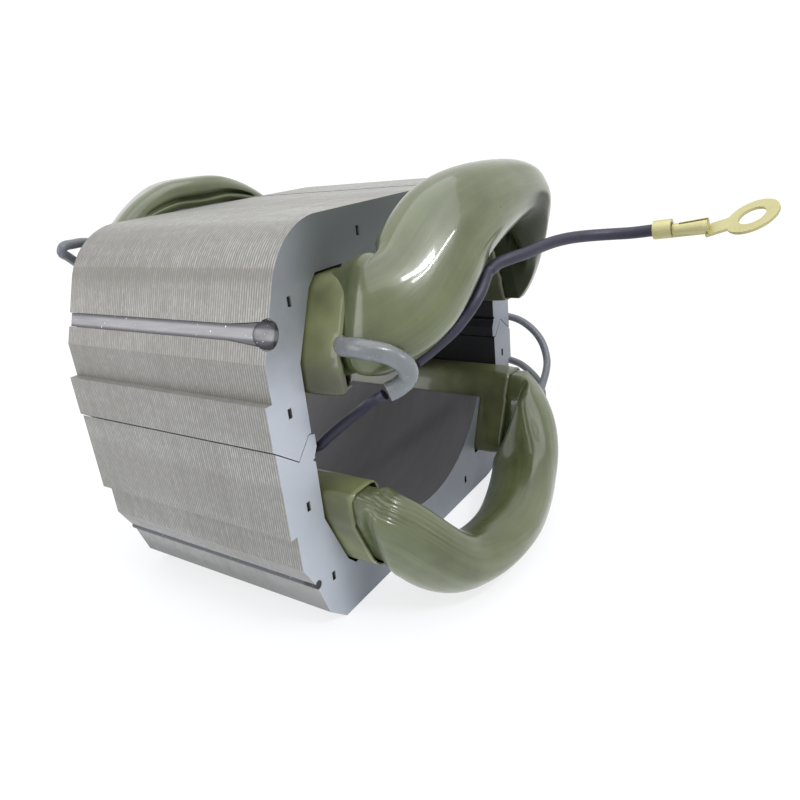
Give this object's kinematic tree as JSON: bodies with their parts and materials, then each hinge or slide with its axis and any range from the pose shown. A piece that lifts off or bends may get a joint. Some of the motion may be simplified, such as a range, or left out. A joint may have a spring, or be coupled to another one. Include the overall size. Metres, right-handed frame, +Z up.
{
  "type": "wound stator",
  "caption": "Laminated steel motor stator with varnished field coils wound through slot liners around a round armature bore, with lead wires and a ring terminal.",
  "frame": {"origin": "on the bore axis at the middle of the stack's length", "axes": "+Y along the bore to the rear, +Z up to the upper core half, +X to the right seen from the front"},
  "size_m": [0.0914, 0.1296, 0.0778],
  "materials": {
    "lamination_steel": "bare punched sheet edges, satin",
    "weld_metal": "dark weld metal with small bright spots",
    "liner_film": "varnished insulating film",
    "varnished_coil": "glossy varnish over wound wire",
    "lead_black": "insulated lead, satin",
    "lead_grey": "insulated lead, satin",
    "sleeve_grey": "glossy sleeving",
    "terminal_brass": "pale brass, pressed sheet"
  },
  "bodies": {
    "root": {"core_upper": "lamination_steel", "core_lower": "lamination_steel", "weld_upper_left": "weld_metal", "weld_upper_right": "weld_metal", "weld_lower_left": "weld_metal", "weld_lower_right": "weld_metal", "liner_upper_left": "liner_film", "liner_upper_right": "liner_film", "liner_lower_left": "liner_film", "liner_lower_right": "liner_film", "coil_upper": "varnished_coil", "coil_lower": "varnished_coil", "bound_lead": "lead_black", "ring_lead": "lead_black", "ring_terminal": "terminal_brass", "jumper_sleeve": "sleeve_grey", "jumper_lead": "lead_black", "side_loop_lead": "lead_grey", "rear_loop_lead": "lead_grey"}
  },
  "joints": []
}
